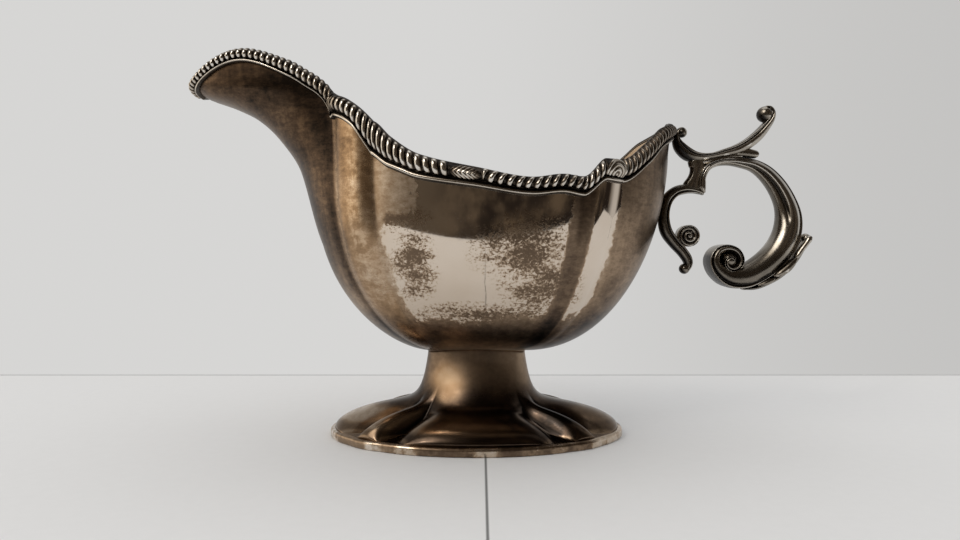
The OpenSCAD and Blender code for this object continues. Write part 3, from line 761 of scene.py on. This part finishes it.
def make_handle(material):
    def handle_piece(name, node, *parts):
        points, faces = join_parts(parts)
        make_mesh(name, points, faces, material, "handle_silver", node)

    upper = [sweep(UPPER, UPPER_SECTIONS), ball(*THUMB_BALL), ball(*START_BALL)]
    upper += [sweep(line, PLAIN_SECTIONS) for line in (SPUR, WEB)]
    handle_piece("upper_scroll", "handle_upper_scroll", *upper)
    handle_piece("finger_loop", "handle_loop", sweep(LOOP, LOOP_SECTIONS), ball(*COIL_BALL))
    handle_piece("short_strut", "handle_strut", sweep(STRUT, PLAIN_SECTIONS))
    handle_piece("bracket_scroll", "handle_lower_bracket", sweep(BRACKET, BRACKET_SECTIONS), ball(*TAIL_BALL))
    handle_piece("bracket_volute", "handle_lower_volute", coil_disc(*VOLUTE))
    handle_piece("leaf_spray", "handle_leaf_spray", *leaf_spray())


# ---- materials ----


class Nodes:
    """Short names for building a node tree."""

    def __init__(self, tree):
        self.tree = tree
        self.tree.nodes.clear()

    def add(self, kind, inputs=(), **settings):
        node = self.tree.nodes.new(kind)
        for key, value in settings.items():
            setattr(node, key, value)
        for key, value in dict(inputs).items():
            if isinstance(value, bpy.types.NodeSocket):
                self.tree.links.new(value, node.inputs[key])
            else:
                node.inputs[key].default_value = value
        return node

    def math(self, operation, a, b=0.0, clamp=False):
        return self.add("ShaderNodeMath", {0: a, 1: b}, operation=operation, use_clamp=clamp).outputs[0]

    def times(self, *values):
        """Product of the values."""
        return reduce(lambda a, b: self.math("MULTIPLY", a, b), values)

    def most(self, *values):
        """Greatest of the values."""
        return reduce(lambda a, b: self.math("MAXIMUM", a, b), values)

    def without(self, value, *masks):
        """value where none of the masks reaches."""
        for mask in masks:
            value = self.math("MULTIPLY", value, self.math("SUBTRACT", 1.0, mask))
        return value

    def shaded(self, amount, *masks):
        """amount and the share of every (mask, share); a share below 0 takes away."""
        for mask, share in masks:
            amount = self.math("ADD", amount, self.math("MULTIPLY", mask, share))
        return amount

    def varied(self, amount, *noises, clamp=False):
        """amount moved up and down by the share of every (noise, share)."""
        for noise, share in noises:
            swing = self.math("MULTIPLY", self.math("SUBTRACT", noise, 0.5), share)
            amount = self.math("ADD", amount, swing, clamp)
        return amount

    def noise(self, vector, scale, detail=4.0, rough=0.55):
        node = self.add("ShaderNodeTexNoise", {
            "Vector": vector, "Scale": scale, "Detail": detail, "Roughness": rough})
        return node.outputs["Fac"]

    def stretch(self, value, lo, hi, to_lo=0.0, to_hi=1.0):
        """Smooth way from to_lo to to_hi while value goes from lo to hi."""
        node = self.add("ShaderNodeMapRange", {
            "Value": value, "From Min": lo, "From Max": hi, "To Min": to_lo, "To Max": to_hi},
            interpolation_type="SMOOTHSTEP")
        return node.outputs["Result"]

    def fade(self, value, band, size=1.0):
        """Smooth way from 0 to 1 while value goes from the first to the second end of the band."""
        return self.stretch(value, band[0] * size, band[1] * size)

    def between(self, value, rise, fall, size=1.0):
        """1 between two bands, 0 before the first and after the second."""
        return self.times(self.fade(value, rise, size), self.fade(value, fall, size))

    def near(self, value, middle, band):
        """The band's fade of how far value is from the middle."""
        return self.fade(self.math("ABSOLUTE", self.math("SUBTRACT", value, middle)), band)

    def vector(self, operation, *values, output=0):
        return self.add("ShaderNodeVectorMath", enumerate(values), operation=operation).outputs[output]

    def scaled(self, vector, scale):
        return self.vector("MULTIPLY", vector, scale)

    def blob(self, vector, centre, radii):
        """1 at the centre, falling to 0 at the ellipsoid's surface. Sizes in mm."""
        gap = self.vector("SUBTRACT", vector, [v * MM for v in centre])
        gap = self.scaled(gap, [1 / (v * MM) for v in radii])
        return self.stretch(self.vector("LENGTH", gap, output="Value"), 1.0, 0.0)

    def attribute(self, name):
        return self.add("ShaderNodeAttribute", attribute_name=name).outputs["Fac"]

    def parts(self, vector):
        return self.add("ShaderNodeSeparateXYZ", {0: vector}).outputs

    def mixed(self, share, first, second):
        """The number first where share is 0, and second where it is 1."""
        return self.add("ShaderNodeMix", {0: share, 2: first, 3: second}).outputs[0]

    def mixed_colour(self, share, first, second, blend="MIX"):
        """The colour first where share is 0, and second, or its blend with the first, where it is 1."""
        ends = [c if isinstance(c, bpy.types.NodeSocket) else (*c, 1) for c in (first, second)]
        node = self.add("ShaderNodeMix", {0: share, 6: ends[0], 7: ends[1]}, data_type="RGBA")
        node.blend_type = blend
        return node.outputs[2]

    def ramp(self, value, stops):
        node = self.add("ShaderNodeValToRGB", {"Fac": value})
        ramp = node.color_ramp
        while len(ramp.elements) < len(stops):
            ramp.elements.new(0.5)
        for element, (place, colour) in zip(ramp.elements, stops):
            element.position = place
            element.color = (*colour, 1)
        return node.outputs["Color"]


# Colours by the amount of tarnish: from clean silver, through straw and brown, to nearly black
TARNISH = [
    (0.0, (0.88, 0.80, 0.72)),
    (0.22, (0.62, 0.51, 0.40)),
    (0.42, (0.365, 0.265, 0.18)),
    (0.62, (0.205, 0.145, 0.098)),
    (0.82, (0.09, 0.063, 0.046)),
    (1.0, (0.025, 0.02, 0.017)),
]
BORDER_TARNISH = [
    (0.0, (0.88, 0.85, 0.80)),
    (0.3, (0.58, 0.52, 0.44)),
    (0.6, (0.24, 0.19, 0.145)),
    (1.0, (0.025, 0.021, 0.018)),
]
HANDLE_TARNISH = [
    (0.0, (0.74, 0.71, 0.66)),
    (0.3, (0.55, 0.51, 0.45)),
    (0.6, (0.27, 0.24, 0.20)),
    (1.0, (0.03, 0.027, 0.025)),
]
GOLD_TINT = (1.0, 0.84, 0.62)
BUMP_STRENGTH = 0.5

# Tarnish of each surface before its masks are added
SATIN_TONE = 0.4
CLEAN_TONE = 0.06
INNER_TONE = 0.22
BORDER_TONE = 0.96
FOOT_TONE = 0.86
HANDLE_TONE = 0.4
SATIN_ROUGH = 0.33
POLISHED_ROUGH = 0.055
CAST_ROUGH = 0.13
STRIP_ROUGH = 0.18

# Bowl: stations over which its masks rise or, where the first is the higher, fall
SIDE_POLISH = ((1.96, 2.12), (3.0, 2.9))
REAR_POLISH = ((3.26, 3.44), (4.1, 3.96))
CORNER_STATIONS = (2.32, 2.16)
BACK_STATIONS = (3.95, 4.25)
LIP_STATIONS = (0.4, 0.05)
LOBE_STATIONS = ((0.9, 1.2), (2.1, 1.9))
# Middle station of a dark valley or of a painted highlight streak, and the distances over which it rises
FIRST_VALLEY = (0.84, (0.3, 0.0))
THIRD_VALLEY = (3.13, (0.26, 0.12))
LOBE_PAINTED_HIGHLIGHTS = [(1.12, (0.1, 0.0)), (1.6, (0.34, 0.0))]
# Heights, and for the spout places along the boat, over which its masks rise or fall, in mm
LOW_HEIGHTS = (43, 33)
TOP_HEIGHTS = (76, 88)
CORNER_HEIGHTS = (62, 70)
PAINTED_HIGHLIGHT_HEIGHTS = (44, 62)
SPOUT_PLACES = (-30, -52)
# Centre and radii of the speckled patches of the side panels, in mm
SPECKLED = [
    ((14, -34, 57), (20, 24, 12)),
    ((18, -34, 46), (16, 24, 12)),
    ((-17, -34, 52), (9, 24, 14)),
    ((-22, -34, 65), (14, 24, 5)),
    ((2, -34, 38), (34, 24, 6)),
    ((5, 34, 52), (20, 24, 14)),
]

# Foot: heights and places along the boat over which its masks rise or fall, in mm
NECK_HEIGHTS = (14, 19)
NECK_SATIN_HEIGHTS = (12, 17)
GROOVE_HEIGHTS = (14, 9)
FLANGE_HIGHLIGHT_HEIGHTS = (4.2, 3.4)
TOE_HIGHLIGHT_HEIGHTS = ((4.5, 6), (10, 8.5))
TOE_HIGHLIGHT_PLACES = (6, 18)
END_SHEEN_PLACES = (22, 34)
LEFT_END_SHEEN_PLACES = (-22, -34)
RIGHT_NECK_HIGHLIGHT_PLACES = (2, 11)
RIGHT_NECK_HIGHLIGHT_HEIGHTS = (12, 16)
STRIP_PLACES = (-14, -28)
# Centre and radii of a duller lobe and of the painted golden gleam on the neck, in mm
DULL_LOBE = ((26, -18, 9.5), (15, 14, 6))
NECK_PAINTED_GLEAM = ((-8, -9, 17), (8, 9, 10))

# Handle: heights and places along the boat over which its masks rise or fall, in mm
COIL_SHADE_HEIGHTS = (59, 53)
STRUT_SHADE_PLACES = (68, 62)
ARM_SHADE_HEIGHTS = (83.5, 84.5)
# Direction of the painted light: the handle's faces that look to it are painted paler, those turned away
# darker
PAINTED_LIGHT_SIDE = (0.75, -0.1, 0.65)


def start_material(name):
    material = bpy.data.materials.new(name)
    material.use_nodes = True
    n = Nodes(material.node_tree)
    place = n.add("ShaderNodeTexCoord").outputs["Object"]
    return material, n, place


def finish_surface(n, colour, metallic, rough, height, strength, distance):
    """Surface with a bump, whose distance is in metres."""
    bump = n.add("ShaderNodeBump", {"Height": height, "Strength": strength, "Distance": distance})
    shader = n.add("ShaderNodeBsdfPrincipled", {
        "Base Color": colour, "Metallic": metallic, "Roughness": rough, "Normal": bump.outputs[0]})
    n.tree.links.new(shader.outputs[0], n.add("ShaderNodeOutputMaterial").inputs[0])


def finish_silver(n, amount, rough, height, distance, stops=TARNISH, gold=None):
    """Metal in the colour of its tarnish, tinted where it is gold."""
    colour = n.ramp(amount, stops)
    if gold is not None:
        colour = n.mixed_colour(gold, colour, GOLD_TINT, "MULTIPLY")
    finish_surface(n, colour, 1.0, rough, height, BUMP_STRENGTH, distance)


def bowl_silver():
    material, n, place = start_material("Bowl silver")
    x, _, z = n.parts(place)
    station = n.attribute("station")
    outside = n.attribute("outside")
    cloud = n.noise(place, 45, 5)
    grain = n.noise(place, 420, 3, 0.6)
    brushed = n.noise(n.scaled(place, [1, 1, 0.12]), 520, 3)
    fleck = n.noise(place, 900, 2)
    scratches = n.noise(n.scaled(place, [1, 1, 2.2]), 300, 7, 0.8)
    # The side panel and the rear lobe are polished, with ragged edges; the rest is satin and brown
    low = n.fade(n.varied(z, (cloud, 12 * MM)), LOW_HEIGHTS, MM)
    high = n.fade(z, TOP_HEIGHTS, MM)
    corner = n.times(n.fade(z, CORNER_HEIGHTS, MM), n.fade(station, CORNER_STATIONS))
    polished = n.most(n.between(station, *SIDE_POLISH), n.between(station, *REAR_POLISH))
    polished = n.without(polished, low, high, corner)
    polished = n.stretch(n.varied(polished, (grain, 1.3)), 0.3, 0.6)
    # Dark specks on the polished places: the nearer a patch's middle, the denser
    spots = n.most(*[n.blob(place, centre, radii) for centre, radii in SPECKLED])
    speck = n.noise(n.scaled(place, [1, 1, 1.4]), 1100, 6, 0.75)
    streak = n.noise(n.scaled(place, [1, 1, 3.2]), 90, 4, 0.6)
    pattern = n.shaded(n.times(spots, 0.2), (speck, 0.8), (streak, 0.35))
    spotted = n.times(n.stretch(pattern, 0.61, 0.77), n.stretch(spots, 0.0, 0.15))
    clean = n.shaded(CLEAN_TONE, (cloud, 0.16), (spotted, 0.56))
    # Satin is darker in two valleys, on the back, on the spout and low down, and paler at the lip; the front
    # lobe has pale streaks that are painted highlights
    spout = n.fade(x, SPOUT_PLACES, MM)
    # Painted highlights: pale streaks down the front lobe
    painted_highlights = n.most(*[n.near(station, middle, band) for middle, band in LOBE_PAINTED_HIGHLIGHTS])
    painted_highlights = n.times(painted_highlights, n.fade(z, PAINTED_HIGHLIGHT_HEIGHTS, MM), n.stretch(grain, 0.35, 0.6))
    satin = n.varied(SATIN_TONE, (cloud, 0.6), (scratches, 0.7), (brushed, 0.25), (fleck, 0.1))
    satin = n.shaded(
        satin,
        (n.near(station, *FIRST_VALLEY), 0.26),
        (n.near(station, *THIRD_VALLEY), 0.3),
        (n.fade(station, BACK_STATIONS), 0.2),
        (spout, 0.48),
        (low, 0.34),
        (n.fade(station, LIP_STATIONS), -0.2),
        (painted_highlights, -0.2),
    )
    inner = n.shaded(INNER_TONE, (cloud, 0.25))
    amount = n.mixed(outside, inner, n.mixed(polished, satin, clean))
    lobe = n.times(n.between(station, *LOBE_STATIONS), n.stretch(cloud, 0.3, 0.6, 0.25, 1.0))
    rough = n.mixed(polished, SATIN_ROUGH, n.shaded(POLISHED_ROUGH, (spotted, 0.3)))
    rough = n.shaded(n.varied(rough, (grain, 0.08)), (lobe, -0.1))
    gold = n.times(n.shaded(n.times(lobe, 0.6), (spout, 0.5)), outside)
    relief = n.shaded(n.noise(place, 30, 2), (brushed, 0.05))
    finish_silver(n, amount, rough, relief, 0.3 * MM, gold=gold)
    return material


def border_silver():
    """Nearly black between the beads, pale on their crests, the fillet's crest and the top, from wear and a
    painted highlight.
    """
    material, n, place = start_material("Border silver")
    cloud = n.noise(place, 90, 4)
    grain = n.noise(place, 700, 3)
    # Paler where the paint marks wear and a painted highlight
    crest = n.stretch(n.attribute("bead"), 0.45, 0.95)
    amount = n.varied(n.shaded(BORDER_TONE, (crest, -0.8)), (cloud, 0.35))
    amount = n.varied(amount, (grain, 0.2), clamp=True)
    rough = n.shaded(CAST_ROUGH, (amount, 0.3))
    finish_silver(n, amount, rough, grain, 0.05 * MM, BORDER_TARNISH)
    return material


def foot_silver():
    material, n, place = start_material("Foot silver")
    x, _, z = n.parts(place)
    crown = n.attribute("crown")
    cloud = n.noise(place, 60, 5, 0.6)
    grain = n.noise(place, 480, 4, 0.6)
    grooves = n.times(n.stretch(crown, 0.35, 0.0), n.fade(z, GROOVE_HEIGHTS, MM))
    # Painted highlight: a pale line along the flange over the strip, between the lobes
    flange_highlight = n.times(n.fade(z, FLANGE_HIGHLIGHT_HEIGHTS, MM), n.stretch(crown, 0.5, 0.1))
    # Painted highlights on the lobes' toes, stronger towards the spout
    toe_highlights = n.times(n.between(z, *TOE_HIGHLIGHT_HEIGHTS, MM), n.stretch(crown, 0.2, 0.6))
    toe_highlight_share = n.stretch(x, TOE_HIGHLIGHT_PLACES[0] * MM, TOE_HIGHLIGHT_PLACES[1] * MM, 0.34, 0.08)
    # Painted highlight: a paler band on the right side of the neck
    right_neck_highlight = n.times(n.fade(x, RIGHT_NECK_HIGHLIGHT_PLACES, MM), n.fade(z, RIGHT_NECK_HIGHLIGHT_HEIGHTS, MM))
    # Painted golden gleam on the neck
    gleam = n.times(n.blob(place, *NECK_PAINTED_GLEAM), n.stretch(cloud, 0.3, 0.6, 0.5, 1.4))
    amount = n.shaded(
        n.varied(FOOT_TONE, (cloud, 0.5)),
        (n.fade(z, NECK_HEIGHTS, MM), -0.22),
        (grooves, 0.3),
        (flange_highlight, -0.4),
        # Painted highlights on the toes
        (n.times(toe_highlights, toe_highlight_share), -1.0),
        # Painted reflection: the end lobes paler, the left one more
        (n.fade(n.math("ABSOLUTE", x), END_SHEEN_PLACES, MM), -0.16),
        (n.fade(x, LEFT_END_SHEEN_PLACES, MM), -0.14),
        (n.blob(place, *DULL_LOBE), 0.3),
        (right_neck_highlight, -0.15),
        (gleam, -0.46),
    )
    amount = n.varied(amount, (grain, 0.22), clamp=True)
    rough = n.shaded(CAST_ROUGH, (gleam, 0.1), (grain, 0.16), (n.fade(z, NECK_SATIN_HEIGHTS, MM), 0.16))
    relief = n.shaded(n.noise(place, 50, 2), (grain, 0.05))
    finish_silver(n, amount, rough, relief, 0.2 * MM, gold=gleam)
    return material


def strip_silver():
    """Worn in places down to the pale metal, and paler towards the spout."""
    material, n, place = start_material("Foot strip silver")
    cloud = n.noise(place, 70, 5, 0.65)
    grain = n.noise(place, 520, 4, 0.65)
    wear = n.stretch(cloud, 0.42, 0.58)
    tone = n.stretch(n.parts(place)[0], STRIP_PLACES[0] * MM, STRIP_PLACES[1] * MM, 0.68, 0.48)
    amount = n.varied(n.shaded(tone, (wear, -0.46)), (grain, 0.5), clamp=True)
    rough = n.shaded(STRIP_ROUGH, (amount, 0.25))
    finish_silver(n, amount, rough, grain, 0.08 * MM)
    return material


def handle_silver():
    """Paler on its worn ridges with a painted highlight, and painted light on the faces that look up and
    outwards; darker in its recesses with tarnish and painted shade, and painted shade on the faces turned
    away and low on the coil and the strut.
    """
    material, n, place = start_material("Handle silver")
    x, _, z = n.parts(place)
    cloud = n.noise(place, 80, 4, 0.6)
    grain = n.noise(place, 600, 3, 0.6)
    geometry = n.add("ShaderNodeNewGeometry").outputs
    pointy = geometry["Pointiness"]
    facing_painted_light = n.vector("DOT_PRODUCT", geometry["Normal"], PAINTED_LIGHT_SIDE, output="Value")
    amount = n.shaded(
        n.varied(HANDLE_TONE, (cloud, 0.35)),
        # Darker in recesses: tarnish and painted shade
        (n.stretch(pointy, 0.5, 0.46), 0.4),
        # Painted shade low on the coil and on the strut
        (n.most(n.fade(z, COIL_SHADE_HEIGHTS, MM), n.fade(x, STRUT_SHADE_PLACES, MM)), 0.34),
        # Painted shade on the faces turned away from the painted light, and more under the arm
        (n.stretch(facing_painted_light, -0.15, -0.65), 0.4),
        (n.times(n.fade(z, ARM_SHADE_HEIGHTS, MM), n.stretch(facing_painted_light, 0.12, -0.25)), 0.28),
        # Painted light on the faces turned to it
        (n.stretch(facing_painted_light, 0.3, 0.8), -0.34),
        # Paler on ridges: wear and a painted highlight
        (n.stretch(pointy, 0.51, 0.55), -0.5),
    )
    amount = n.varied(amount, (grain, 0.14), clamp=True)
    rough = n.shaded(CAST_ROUGH, (amount, 0.17))
    finish_silver(n, amount, rough, grain, 0.06 * MM, HANDLE_TARNISH)
    return material


# ---- stage ----

# Sheet of paper, in mm
PAPER_FRONT = -193
PAPER_BACK = 104
PAPER_HALF_W = 420
SEAM_X = 2.6
# Places across the paper behind which the seam is hidden, and its half width, in mm
SEAM_END = (-20, -21)
SEAM_W = (0.5, 0.1)
# Distances from the paper's back edge over which a painted shadow line darkens it
EDGE_SHADOW = (4, 1)
PAPER_TONE = 0.73
PAPER_ROUGH = 0.75
PAPER_BUMP = 0.15

# Colours of what the silver reflects, and of the wall behind the boat as the camera sees it
ROOM_DARK = (0.022, 0.017, 0.014)
ROOM_THINGS = (0.11, 0.085, 0.06)
ROOM_SIDE = (0.10, 0.08, 0.06)
WALL_LOW = (0.56, 0.555, 0.545)
WALL_HIGH = (0.30, 0.29, 0.28)
WINDOW_LIGHT = (1.25, 1.14, 0.98)
HIGH_WINDOW_LIGHT = (2.2, 2.05, 1.85)
EVEN_LIGHT = (0.82, 0.82, 0.82)
BACKDROP_LEFT = (0.675, 0.67, 0.66)
BACKDROP_RIGHT = (0.555, 0.55, 0.54)
# Direction of the high window, and the distances from it over which its light fades in
HIGH_WINDOW = (-0.6, -0.5, 0.62)
HIGH_WINDOW_EDGE = (0.42, 0.28)
# Direction, half height and edge of the window on the left
WINDOW_LEFT = (-0.82, -0.9)
WINDOW_MIDDLE = 0.12
WINDOW_EDGE = (0.32, 0.22)


def make_floor():
    """White paper up to a straight edge behind the boat, with the seam between its two sheets and a painted
    shadow line along that edge.
    """
    material, n, place = start_material("White paper")
    x, y, _ = n.parts(place)
    seam = n.near(x, SEAM_X * MM, [w * MM for w in SEAM_W])
    seam = n.times(seam, n.fade(y, SEAM_END, MM))
    # Painted shadow line along the back edge
    edge = n.fade(y, [PAPER_BACK - d for d in EDGE_SHADOW], MM)
    line = n.most(seam, n.times(edge, 0.45))
    fine = n.noise(place, 300, 4)
    value = n.shaded(PAPER_TONE, (fine, 0.03), (line, -0.55))
    colour = n.add("ShaderNodeCombineColor", {0: value, 1: value, 2: value})
    finish_surface(n, colour.outputs[0], 0.0, PAPER_ROUGH, fine, PAPER_BUMP, 0.1 * MM)
    mesh = bpy.data.meshes.new("floor")
    w = PAPER_HALF_W
    corners = [(-w, PAPER_FRONT, 0), (w, PAPER_FRONT, 0), (w, PAPER_BACK, 0), (-w, PAPER_BACK, 0)]
    mesh.from_pydata([tuple(v * MM for v in c) for c in corners], [], [(0, 1, 2, 3)])
    mesh.materials.append(material)
    add_object("floor", mesh)


def make_world():
    """A pale wall behind the boat, a dim brown room in front of it and two windows on the left."""
    world = bpy.data.worlds.new("Room")
    bpy.context.scene.world = world
    world.use_nodes = True
    n = Nodes(world.node_tree)
    place = n.add("ShaderNodeTexCoord").outputs["Generated"]
    x, y, z = n.parts(place)
    things = n.stretch(n.noise(place, 3.5, 4, 0.6), 0.42, 0.66)
    room = n.mixed_colour(things, ROOM_DARK, ROOM_THINGS)
    room = n.mixed_colour(n.stretch(x, 0.1, -0.7), room, ROOM_SIDE)
    wall = n.mixed_colour(n.stretch(z, 0.0, 0.9), WALL_LOW, WALL_HIGH)
    room = n.mixed_colour(n.stretch(y, -0.25, 0.2), room, wall)
    window = n.times(n.fade(x, WINDOW_LEFT), n.near(z, WINDOW_MIDDLE, WINDOW_EDGE))
    room = n.mixed_colour(window, room, WINDOW_LIGHT)
    gap = n.vector("LENGTH", n.vector("SUBTRACT", place, HIGH_WINDOW), output="Value")
    room = n.mixed_colour(n.fade(gap, HIGH_WINDOW_EDGE), room, HIGH_WINDOW_LIGHT)
    path = n.add("ShaderNodeLightPath")
    colour = n.mixed_colour(path.outputs["Is Diffuse Ray"], room, EVEN_LIGHT)
    backdrop = n.mixed_colour(n.stretch(x, -0.1, 0.6), BACKDROP_LEFT, BACKDROP_RIGHT)
    colour = n.mixed_colour(path.outputs["Is Camera Ray"], colour, backdrop)
    back = n.add("ShaderNodeBackground", {0: colour, 1: 1.0})
    n.tree.links.new(back.outputs[0], n.add("ShaderNodeOutputWorld").inputs[0])


# Name, place in metres, diameter in metres, power in watts and colour of the lights
LIGHTS = [
    ("window", (-0.55, -0.35, 0.6), 0.5, 0.3, (1, 0.98, 0.94)),
    ("gleam", (-0.4, -0.5, 0.5), 0.09, 0.35, (1, 0.97, 0.92)),
    ("ceiling", (0.05, 0.15, 0.9), 0.7, 0.6, (1, 1, 1)),
]
# Where the lights point to, in metres
LIT_PLACE = (0, 0, 0.05)


def make_light(name, place, size, power, colour):
    light = bpy.data.lights.new(name, "AREA")
    light.shape = "DISK"
    light.size = size
    light.energy = power
    light.color = colour
    lamp = add_object(name, light)
    lamp.location = place
    lamp.rotation_euler = (Vector(LIT_PLACE) - Vector(place)).to_track_quat("-Z", "Y").to_euler()


# Place in mm, angle down in degrees, and the lens and the sensor's width in mm
CAMERA_PLACE = (1.08, -221.5, 56.6)
CAMERA_PITCH = 1.6
LENS = 27
SENSOR_W = 36


def make_camera():
    camera = add_object("camera", bpy.data.cameras.new("camera"))
    camera.data.lens = LENS
    camera.data.sensor_width = SENSOR_W
    camera.data.clip_start = 10 * MM
    camera.location = [v * MM for v in CAMERA_PLACE]
    camera.rotation_euler = (math.radians(90 - CAMERA_PITCH), 0, 0)
    bpy.context.scene.camera = camera


make_camera()
make_floor()
make_world()
for settings in LIGHTS:
    make_light(*settings)
bpy.context.scene.view_settings.view_transform = "Standard"

make_bowl(bowl_silver())
make_border(border_silver())
make_foot(foot_silver(), strip_silver())
make_handle(handle_silver())
